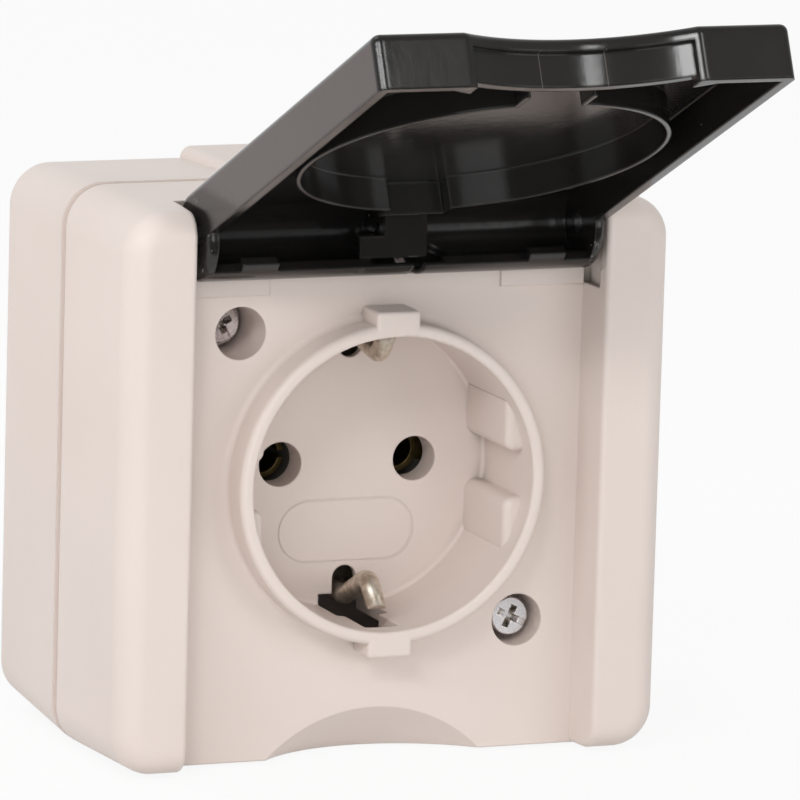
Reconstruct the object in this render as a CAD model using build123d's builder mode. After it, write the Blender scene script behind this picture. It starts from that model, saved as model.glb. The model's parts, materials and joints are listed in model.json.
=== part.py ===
from build123d import *
import os

# Frame: the origin is the centre of the back face, X to the right, Y into the wall, Z up.
# A depth is a distance in front of the wall, so it lies at Y = -depth.

# Housing
housing_width = 77.0
housing_height = 75.0
corner_radius = 5.5
base_depth = 23.6
base_taper = 1.0
rear_wall = 2.6
wall = 2.6
seam_gap = 1.7
seam_inset = 1.1
tongue_engage = 2.4
tongue_clearance = 0.15
seal_thickness = 1.2

# Front cover
cheek_depth = 48.3
cover_taper = 0.6
cheek_edge_radius = 3.4
cheek_inner_edge_radius = 0.7
cheek_width = 9.9
cheek_draft = 0.5
panel_depth = 41.6
panel_thickness = 2.5
cheek_wall = 2.0
scoop_radius = 21.0
scoop_rise = 6.8
pad_width = 12.4
pad_height = 1.1
pad_thickness = 0.35

# Plug well and collar
rim_depth = 47.0
well_depth = 17.2
well_floor = 4.4
well_radius = 19.6
collar_wall = 1.75
collar_root = 0.8
rim_outer_round = 0.9
rim_inner_round = 0.4
floor_round = 0.5
pin_spacing = 19.0
pin_hole_radius = 3.0
key_face = 16.9
key_low = 3.1
key_high = 9.8
key_below_rim = 3.2
key_round = 1.1
key_corner = 1.4
lug_width = 6.1
lug_height = 1.65
lug_round = 0.5
slot_width = 3.4
slot_inner = 14.0
slot_wide = 7.2
slot_wide_from = 17.8
slot_floor = 1.2
slot_margin = 1.2
ramp_width = 4.8
ramp_top = 2.6
ramp_run = 6.5
label_length = 19.4
label_height = 8.6
label_below = 9.3
label_line = 0.25
label_cut = 0.08

# Cover screws
screw_x = 20.0
screw_z = 20.0
screw_well_radius = 3.5
screw_tube_wall = 1.4
screw_seat = 10.0
screw_radius = 1.5
screw_clearance = 0.2
screw_head_radius = 2.75
screw_head_height = 1.9
screw_bite = 7.0
loose_lift = 5.1
boss_radius = 4.0
boss_gap = 0.2
screw_head_round = 0.6
slot_cut = 0.7
slot_depth = 0.6
cross_width = 0.85
cross_length = 3.0
cross_depth = 1.1
washer_thickness = 0.7

# Lid
lid_side_gap = 0.9
lid_foot = 1.1
lid_proud = 2.5
lid_plate = 1.8
lid_wall = 1.5
lid_rim = 7.2
lid_corner = 1.2
lid_edge = 1.0
notch_width = 30.8
notch_rise = 4.2
notch_lift = 1.0
notch_recess = 0.9
notch_end = 0.6
pivot_depth = 43.6
pivot_below_top = 4.2
pocket_gap = 0.6
drum_wrap = 20.0
lid_open = 115.0
ring_radius = 23.9
ring_wall = 0.6
ring_depth = 4.3
bulge_width = 9.4
bulge_height = 2.1
channel_width = 8.4
channel_reach = 3.0
lip_tab_x = 20.0
lip_tab_width = 5.0
lip_tab_angle = 14.0
spring_box_width = 5.9
spring_box_wall = 0.7
rib_drop = 0.5
tongue_distance = 2.1
tongue_wall = 1.0
tongue_drop = 3.2
tongue_bar_length = 9.3
tongue_bar_height = 3.0
window_left = 4.2
window_right = 8.6
window_height = 5.6
window_angle = 40.0
window_floor = 0.6
hinge_pin_radius = 1.2
hinge_clearance = 0.06
groove_depth = 0.6
groove_width = 5.3
groove_drop = 8.3

# Lid spring
spring_x = 0.65
spring_wire = 0.7
spring_coil_radius = 1.5
spring_leg_wire = 0.68
spring_pitch = 0.67
spring_turns = 6
spring_leg_gap = 0.3
spring_leg_angle = 34.0
spring_slot_angle = 95.0
spring_slot_width = 1.6

# Cable entry
entry_radius = 8.0
entry_depth = 12.5
entry_pad_width = 27.0
entry_pad_height = 1.6
entry_pad_length = 21.0
grommet_gap = 0.05
grommet_seat = 0.3
grommet_flange = 1.6
grommet_skin = 1.0
fixing_spacing = 58.0
fixing_radius = 2.25
fixing_rim = 1.6
fixing_rim_height = 1.2

# Contacts and terminals
carrier_width = 46.0
carrier_height = 28.0
carrier_back = 9.0
carrier_gap = 0.3
carrier_round = 2.0
carrier_screw_x = 18.4
carrier_screw_z = 9.8
carrier_screw_seat = 14.0
pin_radius = 2.4
contact_wall = 0.8
contact_length = 12.0
contact_sink = 2.5
contact_slit = 0.9
chamber_gap = 0.35
clip_wall = 0.5
clip_length = 3.0
clip_inset = 8.0
terminal_x = 17.6
terminal_width = 6.8
terminal_height = 7.6
terminal_depth = 7.0
terminal_sunk = 4.0
terminal_gap = 0.3
wire_radius = 1.5
tail_width = 3.6
tail_thickness = 0.8
clamp_size = 6.0
clamp_thickness = 0.8
terminal_bite = 5.0
strap_width = 8.0
strap_thickness = 1.4
strap_sunk = 3.4
clip_bar_radius = 1.3
clip_root = 18.0
clip_apex = 14.0
upper_clip_set = 0.9
clip_apex_depth = 38.4
clip_tip = 17.6
clip_tip_run = 3.2
clip_bend = 1.6
clip_edge_round = 0.3

# Values worked out from the driving dimensions
half_width = housing_width / 2
half_height = housing_height / 2
cheek_gap = housing_width - 2 * cheek_width
lid_width = cheek_gap - 2 * lid_side_gap
lid_bottom = lid_foot - half_height
pivot_height = half_height - pivot_below_top
cover_rear = base_depth + seam_gap
tongue_end = cover_rear + tongue_engage
rebate_end = tongue_end + seal_thickness
floor_depth = rim_depth - well_depth
floor_back = floor_depth - well_floor
collar_radius = well_radius + collar_wall
lug_top = collar_radius + lug_height
cheek_face = cheek_gap / 2
lid_front = rim_depth + lid_proud
lid_back = lid_front - lid_rim
plate_back = lid_front - lid_plate
drum_radius = lid_front - pivot_depth
drum_inner = drum_radius - lid_wall
pocket_radius = drum_radius + pocket_gap
pocket_back = pivot_depth - pocket_radius
lid_half = lid_width / 2
ear_inside = lid_half - lid_wall
notch_radius = (notch_width**2 / 4 + notch_rise**2) / (2 * notch_rise)
notch_centre = lid_bottom + notch_rise - notch_radius
scoop_centre = -half_height + scoop_rise - scoop_radius
carrier_front = floor_back - carrier_gap
strap_front = carrier_front - strap_sunk
seat_depth = panel_depth - screw_seat
slot_outer = lug_top - lug_height / 2
slot_round_at = slot_inner + slot_width / 2
coil_end = spring_pitch * (spring_turns - 1) / 2
screw_spots = [(-screw_x, screw_z), (screw_x, -screw_z)]
carrier_screw_spots = [(carrier_screw_x, carrier_screw_z), (-carrier_screw_x, -carrier_screw_z)]
hinge_point = (0, -pivot_depth, pivot_height)
hinge_axis = Axis(hinge_point, (1, 0, 0))

os.makedirs("parts", exist_ok=True)


def facing(depth):
    """The plane parallel to the wall at a depth, seen from the front."""
    return Plane.XZ.offset(depth)


def side(x):
    """The plane across the housing at X = x, with Y and Z as its axes."""
    return Plane.YZ.offset(x)


def across_hinge(x):
    """The plane across the hinge at X = x, with its origin on the hinge axis."""
    return Plane((x, -pivot_depth, pivot_height), x_dir=(0, 1, 0), z_dir=(1, 0, 0))


def finish(piece, name):
    """Labels a finished piece and writes its STEP file."""
    piece.label = name
    export_step(piece, f"parts/{name}.step")


# Back box: a drafted tray with a tongue that enters the cover
with BuildPart() as back_box:
    with BuildSketch(facing(0)):
        RectangleRounded(housing_width - 2 * base_taper, housing_height - 2 * base_taper, corner_radius)
    with BuildSketch(facing(base_depth)):
        RectangleRounded(housing_width, housing_height, corner_radius)
    loft()
    # Pad round the cable entry on the top wall
    pad_top = half_height + entry_pad_height - base_taper
    with BuildSketch(facing(0)):
        with Locations((0, (pad_top + half_height - 2 * wall) / 2)):
            RectangleRounded(entry_pad_width, pad_top - half_height + 2 * wall, entry_pad_height)
    extrude(amount=entry_pad_length)
    with BuildSketch(facing(rear_wall)):
        inner_taper = base_taper * (1 - rear_wall / base_depth)
        RectangleRounded(
            housing_width - 2 * (wall + inner_taper),
            housing_height - 2 * (wall + inner_taper),
            corner_radius - wall,
        )
    with BuildSketch(facing(base_depth)):
        RectangleRounded(housing_width - 2 * wall, housing_height - 2 * wall, corner_radius - wall)
    loft(mode=Mode.SUBTRACT)
    with BuildSketch(facing(base_depth)):
        inset = seam_inset
        RectangleRounded(housing_width - 2 * inset, housing_height - 2 * inset, corner_radius - inset)
        RectangleRounded(
            housing_width - 2 * wall, housing_height - 2 * wall, corner_radius - wall, mode=Mode.SUBTRACT
        )
    extrude(amount=tongue_end - base_depth)
    # Bosses for the cover screws and pillars for the contact carrier
    with BuildSketch(facing(rear_wall)):
        with Locations(*screw_spots):
            Circle(boss_radius)
    extrude(amount=cover_rear - boss_gap - rear_wall)
    with BuildSketch(facing(rear_wall)):
        with Locations(*carrier_screw_spots):
            Circle(boss_radius)
    extrude(amount=carrier_back - rear_wall)
    with BuildSketch(facing(rear_wall)):
        with Locations((-fixing_spacing / 2, 0), (fixing_spacing / 2, 0)):
            Circle(fixing_radius + fixing_rim)
    extrude(amount=fixing_rim_height)
    # Screw holes, wall fixing holes and the cable hole
    with BuildSketch(facing(cover_rear)):
        with Locations(*screw_spots):
            Circle(screw_radius)
    extrude(amount=-(cover_rear - rear_wall), mode=Mode.SUBTRACT)
    with BuildSketch(facing(carrier_back)):
        with Locations(*carrier_screw_spots):
            Circle(screw_radius)
    extrude(amount=-(carrier_back - rear_wall), mode=Mode.SUBTRACT)
    with BuildSketch(facing(0)):
        with Locations((-fixing_spacing / 2, 0), (fixing_spacing / 2, 0)):
            Circle(fixing_radius)
    extrude(amount=rear_wall + fixing_rim_height, mode=Mode.SUBTRACT)
    with BuildSketch(Plane.XY.offset(half_height - 2 * wall)):
        with Locations((0, -entry_depth)):
            Circle(entry_radius)
    extrude(amount=pad_top, mode=Mode.SUBTRACT)
finish(back_box.part, "back_box")

# Cable grommet: a rubber plug with a stepped membrane, gripped in the entry hole
entry_inside = half_height - wall - base_taper
with BuildPart() as cable_grommet:
    with BuildSketch(Plane.XZ.offset(entry_depth)):
        body = entry_radius - grommet_gap
        with BuildLine():
            Polyline(
                (0, pad_top - 3 * grommet_skin),
                (body / 3, pad_top - 3 * grommet_skin),
                (body / 3, pad_top - 2 * grommet_skin),
                (body * 2 / 3, pad_top - 2 * grommet_skin),
                (body * 2 / 3, pad_top - grommet_gap),
                (body, pad_top - grommet_gap),
                (body, entry_inside - grommet_seat),
                (body + grommet_flange, entry_inside - grommet_seat),
                (body + grommet_flange, entry_inside - 2 * grommet_skin),
                (body - 2 * grommet_skin, entry_inside - 2 * grommet_skin),
                (body - 2 * grommet_skin, pad_top - 3 * grommet_skin - grommet_skin),
                (0, pad_top - 4 * grommet_skin),
                close=True,
            )
        make_face()
    revolve(axis=Axis((0, -entry_depth, 0), (0, 0, 1)))
finish(cable_grommet.part, "cable_grommet")

# Inside of the cover: what the moulding leaves hollow behind its face
with BuildPart() as cover_hollow:
    hollow_front = pocket_back - wall
    with BuildSketch(facing(cover_rear)):
        RectangleRounded(housing_width - 2 * wall, housing_height - 2 * wall, corner_radius - wall)
    extrude(amount=hollow_front - cover_rear)
    panel_back = panel_depth - panel_thickness
    hinge_floor = pivot_height - pocket_radius - wall
    with BuildSketch(facing(cover_rear)):
        with Locations((0, (hinge_floor - half_height + wall) / 2)):
            Rectangle(cheek_gap - 2 * cheek_wall, hinge_floor + half_height - wall)
    extrude(amount=panel_back - cover_rear)
    cheek_hollow = half_width - cover_taper - wall - cheek_face - cheek_wall
    with BuildSketch(facing(cover_rear)):
        with Locations(*[(s * (cheek_face + cheek_wall + cheek_hollow / 2), 0) for s in (-1, 1)]):
            Rectangle(cheek_hollow, housing_height - 2 * (wall + cover_taper))
    extrude(amount=cheek_depth - wall - cover_rear)
    # The wall behind the finger scoop
    with BuildSketch(facing(panel_depth)):
        with Locations((0, scoop_centre)):
            Circle(scoop_radius + panel_thickness)
    extrude(amount=2 * scoop_rise + 2 * panel_thickness, dir=(0, 1, -1), mode=Mode.SUBTRACT)

# Guide keys inside the well
with BuildPart() as guide_keys:
    key_top = rim_depth - key_below_rim
    key_reach = well_radius + collar_wall / 2
    with BuildSketch(facing(floor_depth - well_floor / 2)) as key_section:
        for sx in (-1, 1):
            for sz in (-1, 1):
                with Locations((sx * (key_face + key_reach) / 2, sz * (key_low + key_high) / 2)):
                    Rectangle(key_reach - key_face, key_high - key_low)
        inner_corners = key_section.vertices().sort_by(lambda corner: abs(corner.X) + abs(corner.Y))
        fillet(inner_corners[:4], key_corner)
    extrude(amount=key_top - floor_depth + well_floor / 2)
    with BuildSketch(facing(floor_depth - well_floor / 2)):
        Circle(key_reach)
    extrude(amount=well_depth + well_floor, mode=Mode.INTERSECT)
    front_edges = guide_keys.faces().filter_by(Axis.Y).group_by(Axis.Y)[0].edges()
    low_edges = front_edges.filter_by(lambda edge: abs(edge.center().Z) < key_high - key_corner)
    straight_edges = low_edges.filter_by(GeomType.LINE)
    corner_edges = low_edges.filter_by(GeomType.CIRCLE).filter_by(lambda edge: edge.radius < key_face)
    fillet(straight_edges + corner_edges, key_round)

# Lugs on the collar, above and below
with BuildPart() as collar_lugs:
    lug_foot = well_radius + collar_wall / 2
    with BuildSketch(facing(panel_depth - panel_thickness)) as lug_section:
        for up in (-1, 1):
            with Locations((0, up * (lug_foot + lug_top) / 2)):
                Rectangle(lug_width, lug_top - lug_foot)
        fillet(lug_section.vertices().sort_by(lambda vertex: -abs(vertex.Y))[:4], lug_round)
    extrude(amount=rim_depth - panel_depth + panel_thickness)
    lug_fronts = collar_lugs.faces().filter_by(Axis.Y).group_by(Axis.Y)[0]
    fillet(lug_fronts.edges().sort_by(lambda edge: abs(edge.center().Z))[2:], lug_round)

# Front cover: cheeks, panel, hinge pocket, plug well and screw wells in one moulding
with BuildPart() as front_cover:
    with BuildSketch(facing(cover_rear)):
        RectangleRounded(housing_width, housing_height, corner_radius)
    with BuildSketch(facing(cheek_depth)):
        RectangleRounded(
            housing_width - 2 * cover_taper, housing_height - 2 * cover_taper, corner_radius
        )
    loft()
    fillet(front_cover.faces().sort_by(Axis.Y)[0].edges(), cheek_edge_radius)
    with BuildSketch(facing(cheek_depth)):
        Rectangle(cheek_gap, 2 * housing_height)
    with BuildSketch(facing(panel_depth)):
        Rectangle(cheek_gap - 2 * cheek_draft, 2 * housing_height)
    loft(mode=Mode.SUBTRACT)
    cheek_fronts = front_cover.faces().filter_by(Axis.Y).group_by(Axis.Y)[0]
    upright_edges = cheek_fronts.edges().filter_by(Axis.Z)
    fillet(upright_edges.sort_by(lambda edge: abs(edge.center().X))[:2], cheek_inner_edge_radius)
    with BuildSketch(across_hinge(-cheek_face)):
        Circle(pocket_radius)
    extrude(amount=cheek_gap, mode=Mode.SUBTRACT)
    add(cover_hollow.part, mode=Mode.SUBTRACT)
    with BuildSketch(facing(cover_rear)):
        slack = seam_inset - tongue_clearance
        RectangleRounded(housing_width - 2 * slack, housing_height - 2 * slack, corner_radius - slack)
    extrude(amount=rebate_end - cover_rear, mode=Mode.SUBTRACT)
    # Well and collar
    with BuildSketch(Plane.XY) as collar_section:
        with BuildLine():
            Polyline(
                (0, -floor_back),
                (collar_radius, -floor_back),
                (collar_radius, -rim_depth),
                (0, -rim_depth),
                close=True,
            )
        make_face()
        fillet(collar_section.vertices().sort_by_distance((collar_radius, -rim_depth))[0], rim_outer_round)
    revolve(axis=Axis.Y)
    with BuildSketch(Plane.XY):
        with BuildLine():
            root_arc = CenterArc(
                (collar_radius + collar_root, -panel_depth - collar_root), collar_root, 90, 90
            )
            Polyline(
                root_arc @ 1,
                (well_radius, -panel_depth - collar_root),
                (well_radius, -panel_back),
                (collar_radius + collar_root, -panel_back),
                root_arc @ 0,
            )
        make_face()
    revolve(axis=Axis.Y)
    add(collar_lugs.part)
    with BuildSketch(facing(cover_rear)):
        with Locations(*screw_spots):
            Circle(screw_well_radius + screw_tube_wall)
    extrude(amount=panel_depth - cover_rear)
    with BuildSketch(Plane.XY) as bore_section:
        with BuildLine():
            Line((0, -floor_depth), (well_radius, -floor_depth))
            Line((well_radius, -floor_depth), (well_radius, rim_inner_round - rim_depth))
            CenterArc(
                (well_radius + rim_inner_round, rim_inner_round - rim_depth), rim_inner_round, 180, 90
            )
            Line((well_radius + rim_inner_round, -rim_depth), (0, -rim_depth))
            Line((0, -rim_depth), (0, -floor_depth))
        make_face()
        fillet(bore_section.vertices().sort_by_distance((well_radius, -floor_depth))[0], floor_round)
    revolve(axis=Axis.Y, mode=Mode.SUBTRACT)
    add(guide_keys.part)
    # Pin holes, slots for the earth clips and the faint line round a bare label field
    with BuildSketch(facing(floor_back)):
        with Locations((-pin_spacing / 2, 0), (pin_spacing / 2, 0)):
            Circle(pin_hole_radius)
        for up in (-1, 1):
            with Locations((0, up * slot_round_at)):
                Circle(slot_width / 2)
            with Locations((0, up * (slot_round_at + slot_wide_from) / 2)):
                Rectangle(slot_width, slot_wide_from - slot_round_at)
    extrude(amount=well_floor, mode=Mode.SUBTRACT)
    # The floor is thin round each slot
    with BuildSketch(facing(floor_back)):
        for up in (-1, 1):
            with Locations((0, up * (slot_inner - slot_margin + slot_outer) / 2)):
                Rectangle(slot_wide, slot_outer - slot_inner + slot_margin)
    extrude(amount=well_floor - slot_floor, mode=Mode.SUBTRACT)
    # The wall is open beside each clip, and a ramp leads on from there towards the rim
    with BuildSketch(facing(floor_back)):
        for up in (-1, 1):
            with Locations((0, up * (slot_wide_from + slot_outer) / 2)):
                Rectangle(slot_wide, slot_outer - slot_wide_from)
    extrude(amount=panel_back - panel_thickness - floor_back, mode=Mode.SUBTRACT)
    for up in (-1, 1):
        with BuildSketch(side(-ramp_width / 2)):
            with BuildLine():
                Polyline(
                    (-floor_back, up * (well_radius - collar_wall)),
                    (-floor_back, up * slot_outer),
                    (-(rim_depth - ramp_top - ramp_run), up * slot_outer),
                    (-(rim_depth - ramp_top), up * (well_radius - collar_wall / 4)),
                    (-(rim_depth - ramp_top), up * (well_radius - collar_wall)),
                    close=True,
                )
            make_face()
        extrude(amount=ramp_width, mode=Mode.SUBTRACT)
    with BuildSketch(facing(floor_depth)):
        with Locations((0, -label_below)):
            SlotOverall(label_length, label_height)
            SlotOverall(label_length - 2 * label_line, label_height - 2 * label_line, mode=Mode.SUBTRACT)
    extrude(amount=-label_cut, mode=Mode.SUBTRACT)
    # Screw wells with a seat for the head
    with BuildSketch(facing(panel_depth)):
        with Locations(*screw_spots):
            Circle(screw_well_radius)
    extrude(amount=-screw_seat, mode=Mode.SUBTRACT)
    with BuildSketch(facing(seat_depth)):
        with Locations(*screw_spots):
            Circle(screw_radius + screw_clearance)
    extrude(amount=-(seat_depth - cover_rear), mode=Mode.SUBTRACT)
    # Finger scoop at the foot of the panel
    with BuildSketch(facing(panel_depth)):
        with Locations((0, scoop_centre)):
            Circle(scoop_radius)
    extrude(amount=2 * scoop_rise + 2 * panel_thickness, dir=(0, 1, -1), mode=Mode.SUBTRACT)
    # Stop pads under the hinge, guide grooves for the lid's ears and the pivot holes
    pad_zone = pivot_height - (pocket_radius**2 - (pivot_depth - panel_depth) ** 2) ** 0.5
    for sx in (-1, 1):
        with BuildSketch(facing(panel_depth)):
            with Locations((sx * (cheek_face - pad_width / 2), pad_zone - pad_height)):
                Rectangle(pad_width, 2 * pad_height)
        extrude(amount=pad_thickness)
        with BuildSketch(facing(pivot_depth - groove_width / 2)):
            with Locations((sx * cheek_face, pivot_height - groove_drop / 2)):
                Rectangle(2 * groove_depth, groove_drop)
        extrude(amount=groove_width, mode=Mode.SUBTRACT)
    with BuildSketch(across_hinge(-cheek_face - cheek_wall)):
        Circle(hinge_pin_radius)
    extrude(amount=cheek_gap + 2 * cheek_wall, mode=Mode.SUBTRACT)
finish(front_cover.part, "front_cover")

# Seal between the tongue of the box and the cover's rebate
with BuildPart() as cover_seal:
    with BuildSketch(facing(tongue_end)):
        RectangleRounded(
            housing_width - 2 * seam_inset, housing_height - 2 * seam_inset, corner_radius - seam_inset
        )
        RectangleRounded(
            housing_width - 2 * wall, housing_height - 2 * wall, corner_radius - wall, mode=Mode.SUBTRACT
        )
    extrude(amount=seal_thickness)
finish(cover_seal.part, "cover_seal")

# Lid tray in its closed place: plate, side walls and the thumb wall with its concave notch
with BuildPart() as lid_tray:
    with BuildSketch(facing(lid_back)) as tray_outline:
        with Locations((0, (lid_bottom + pivot_height) / 2)):
            Rectangle(lid_width, pivot_height - lid_bottom)
        with Locations((0, notch_centre)):
            Circle(notch_radius, mode=Mode.SUBTRACT)
        fillet(tray_outline.vertices().group_by(Axis.Y)[0], lid_corner)
    extrude(amount=lid_rim)
    fillet(lid_tray.faces().sort_by(Axis.Y)[0].edges().sort_by(Axis.Z)[:-1], lid_edge)
    with BuildSketch(facing(lid_back)):
        with Locations((0, (lid_bottom + lid_wall + pivot_height) / 2)):
            Rectangle(lid_width - 2 * lid_wall, pivot_height - lid_bottom - lid_wall)
        with Locations((0, notch_centre)):
            Circle(notch_radius + notch_recess + lid_wall, mode=Mode.SUBTRACT)
    extrude(amount=lid_rim - lid_plate, mode=Mode.SUBTRACT)
    # The notch's wall stands back from the plate's edge, between two end blocks
    notch_zone = notch_rise + notch_recess + lid_wall
    with BuildSketch(facing(lid_back)):
        with Locations((0, notch_centre)):
            Circle(notch_radius + notch_recess)
        with Locations((0, lid_bottom + notch_zone / 2)):
            Rectangle(notch_width - 2 * notch_end, notch_zone, mode=Mode.INTERSECT)
    extrude(amount=lid_rim - lid_plate, mode=Mode.SUBTRACT)
    with BuildSketch(facing(lid_back)):
        with Locations((0, lid_bottom + notch_zone / 2)):
            Rectangle(notch_width - 2 * notch_end, notch_zone)
    extrude(amount=notch_lift, mode=Mode.SUBTRACT)

# Recess inside the drum behind the spring box: round at one end, open to the lip, with a thin floor
reach = 2 * drum_radius
window_way = Vector(0, 1, 0).rotate(Axis.X, window_angle)
window_end = window_right - window_height / 2
with BuildPart() as drum_window:
    with BuildSketch(Plane(hinge_point, x_dir=(1, 0, 0), z_dir=window_way)):
        with Locations(((window_end - window_left) / 2, 0)):
            Rectangle(window_end + window_left, window_height)
        with Locations((window_end, 0)):
            Circle(window_height / 2)
        with Locations(((window_end - window_left) / 2, reach / 2)):
            Rectangle(window_end + window_left, reach)
    extrude(amount=reach)
    with BuildSketch(across_hinge(-lid_half)):
        Circle(drum_radius - window_floor)
    extrude(amount=lid_width, mode=Mode.INTERSECT)

# Lid: the tray, the hinge drum with its two ears, the ring round the collar and the spring box.
# It is drawn closed, then turned open about the hinge.
open_plane = Plane(hinge_point, x_dir=(1, 0, 0), z_dir=Vector(0, -1, 0).rotate(Axis.X, lid_open))
with BuildPart() as lid:
    with BuildSketch(Plane(hinge_point, x_dir=(1, 0, 0), z_dir=(0, -1, 0))) as drum_section:
        with Locations((0, drum_radius / 2)):
            Rectangle(lid_width, drum_radius)
        fillet(drum_section.vertices().group_by(Axis.Y)[-1], lid_edge)
    revolve(axis=hinge_axis)
    with BuildSketch(across_hinge(-ear_inside)):
        Circle(drum_inner)
    extrude(amount=2 * ear_inside, mode=Mode.SUBTRACT)
    # The drum is open in front, with two stop tabs left on its lip
    tab_inner = lip_tab_x - lip_tab_width / 2
    tab_outer = lip_tab_x + lip_tab_width / 2
    for start, end, lip_angle in (
        (-ear_inside, ear_inside, -drum_wrap - lip_tab_angle),
        (-ear_inside, -tab_outer, -drum_wrap),
        (-tab_inner, tab_inner, -drum_wrap),
        (tab_outer, ear_inside, -drum_wrap),
    ):
        with BuildSketch(across_hinge(start)):
            with BuildLine():
                PolarLine((0, 0), reach, lip_angle)
                gap_round = CenterArc((0, 0), reach, lip_angle, -180 - lip_angle)
                Line(gap_round @ 1, (0, 0))
            make_face()
        extrude(amount=end - start, mode=Mode.SUBTRACT)
    add(lid_tray.part)
    with BuildSketch(facing(plate_back)):
        Circle(ring_radius)
        with Locations((0, (ring_radius + bulge_height) / 2)):
            Rectangle(bulge_width, ring_radius + bulge_height)
        channel_end = -ring_radius - channel_reach
        with Locations((0, (channel_end - ring_wall / 2) / 2)):
            Rectangle(channel_width + 2 * ring_wall, ring_wall / 2 - channel_end)
        Circle(ring_radius - ring_wall, mode=Mode.SUBTRACT)
        with Locations((0, (ring_radius + bulge_height - ring_wall) / 2)):
            Rectangle(bulge_width - 2 * ring_wall, ring_radius + bulge_height - ring_wall, mode=Mode.SUBTRACT)
        with Locations((0, channel_end / 2 - ring_wall)):
            Rectangle(channel_width, 2 * ring_wall - channel_end, mode=Mode.SUBTRACT)
    extrude(amount=-ring_depth)
    # Slot in the drum for the spring's fixed leg, and the recess behind the box
    with BuildSketch(across_hinge(spring_x + coil_end - spring_slot_width / 2)):
        with BuildLine():
            PolarLine((0, 0), reach, -drum_wrap)
            slot_round = CenterArc((0, 0), reach, -drum_wrap, drum_wrap + spring_slot_angle)
            Line(slot_round @ 1, (0, 0))
        make_face()
    extrude(amount=spring_slot_width, mode=Mode.SUBTRACT)
    add(drum_window.part, mode=Mode.SUBTRACT)
    # Spring box: two short ribs in the drum, and a tongue across their front with a bar at its foot
    for sx in (-1, 1):
        rib_middle = spring_x + sx * (spring_box_width - spring_box_wall) / 2
        with BuildSketch(across_hinge(rib_middle - spring_box_wall / 2)):
            Circle(drum_inner + lid_wall / 2)
            with Locations(Rotation(0, 0, lid_open)):
                with Locations((-tongue_distance - tongue_wall, -rib_drop)):
                    Rectangle(2 * reach, 2 * reach, align=(Align.MIN, Align.MIN), mode=Mode.INTERSECT)
        extrude(amount=spring_box_wall)
    tongue_top = drum_radius - lid_plate / 2
    with BuildSketch(open_plane.offset(tongue_distance)):
        with Locations((spring_x, (tongue_top - tongue_drop) / 2)):
            Rectangle(spring_box_width, tongue_top + tongue_drop)
        with Locations((spring_x + spring_box_width / 2, -tongue_drop)):
            Rectangle(tongue_bar_length, tongue_bar_height, align=(Align.MAX, Align.MIN))
    extrude(amount=tongue_wall)
    with BuildSketch(across_hinge(-lid_half)):
        Circle(hinge_pin_radius + hinge_clearance)
    extrude(amount=lid_width, mode=Mode.SUBTRACT)
lid_opened = lid.part.rotate(hinge_axis, -lid_open)
finish(lid_opened, "lid")

# Hinge pins, pressed into the cheeks and running in the lid's ears
with BuildPart() as hinge_pins:
    pin_reach = cheek_face + cheek_wall - ear_inside
    for start in (-cheek_face - cheek_wall, ear_inside):
        with BuildSketch(across_hinge(start)):
            Circle(hinge_pin_radius)
        extrude(amount=pin_reach)
finish(hinge_pins.part, "hinge_pins")

# Lid spring: a close coil round the hinge axis, one leg behind the tongue and one on the pocket's wall
with BuildPart() as lid_spring:
    with BuildSketch(Plane(hinge_point, x_dir=(1, 0, 0), z_dir=(0, -1, 0))):
        with Locations((spring_x, spring_coil_radius)):
            with GridLocations(spring_pitch, 0, spring_turns, 1):
                Circle(spring_wire / 2)
    revolve(axis=hinge_axis)
    with BuildSketch(Plane.XY.offset(pivot_height)):
        with Locations((spring_x - coil_end, -pivot_depth - spring_coil_radius)):
            Circle(spring_leg_wire / 2)
    extrude(amount=tongue_drop)
    leg_way = Vector(0, 1, 0).rotate(Axis.X, -spring_leg_angle)
    leg_offset = leg_way.rotate(Axis.X, -90) * spring_coil_radius
    leg_start = Vector(spring_x + coil_end, -pivot_depth, pivot_height) + leg_offset
    leg_reach = pocket_radius - spring_leg_gap - spring_wire / 2
    with BuildSketch(Plane(leg_start, x_dir=(1, 0, 0), z_dir=leg_way)):
        Circle(spring_leg_wire / 2)
    extrude(amount=(leg_reach**2 - spring_coil_radius**2) ** 0.5)
finish(lid_spring.part, "lid_spring")


def pan_screw(length, cross):
    """Makes one screw whose head's underside lies on the wall plane, facing the front."""
    with BuildPart() as screw:
        with BuildSketch(facing(0)):
            Circle(screw_radius)
        extrude(amount=-length)
        with BuildSketch(facing(0)):
            Circle(screw_head_radius)
        extrude(amount=screw_head_height)
        fillet(screw.edges().group_by(Axis.Y)[0], screw_head_round)
        with BuildSketch(facing(screw_head_height)):
            Rectangle(slot_cut, 2 * screw_head_radius)
            if cross:
                Rectangle(2 * screw_head_radius, slot_cut)
        extrude(amount=-slot_depth, mode=Mode.SUBTRACT)
        if cross:
            with BuildSketch(facing(screw_head_height)):
                Rectangle(cross_length, cross_width)
                Rectangle(cross_width, cross_length)
            extrude(amount=-cross_depth, mode=Mode.SUBTRACT)
    return screw.part


# Cover screws: the upper one is driven home, the lower one still stands a little proud
cover_screw_seat = seat_depth + washer_thickness
cover_screw = pan_screw(cover_screw_seat - cover_rear + boss_gap + screw_bite, True)
with BuildPart() as cover_screws:
    for (x, z), lift in zip(screw_spots, (0, loose_lift)):
        with Locations((x, -cover_screw_seat - lift, z)):
            add(cover_screw)
finish(cover_screws.part, "cover_screws")

# Washers under the heads, which keep the screws in the cover
with BuildPart() as screw_washers:
    with BuildSketch(facing(seat_depth)):
        with Locations(*screw_spots):
            Circle(screw_well_radius - screw_clearance)
            Circle(screw_radius + screw_clearance, mode=Mode.SUBTRACT)
    extrude(amount=washer_thickness)
finish(screw_washers.part, "screw_washers")

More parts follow.
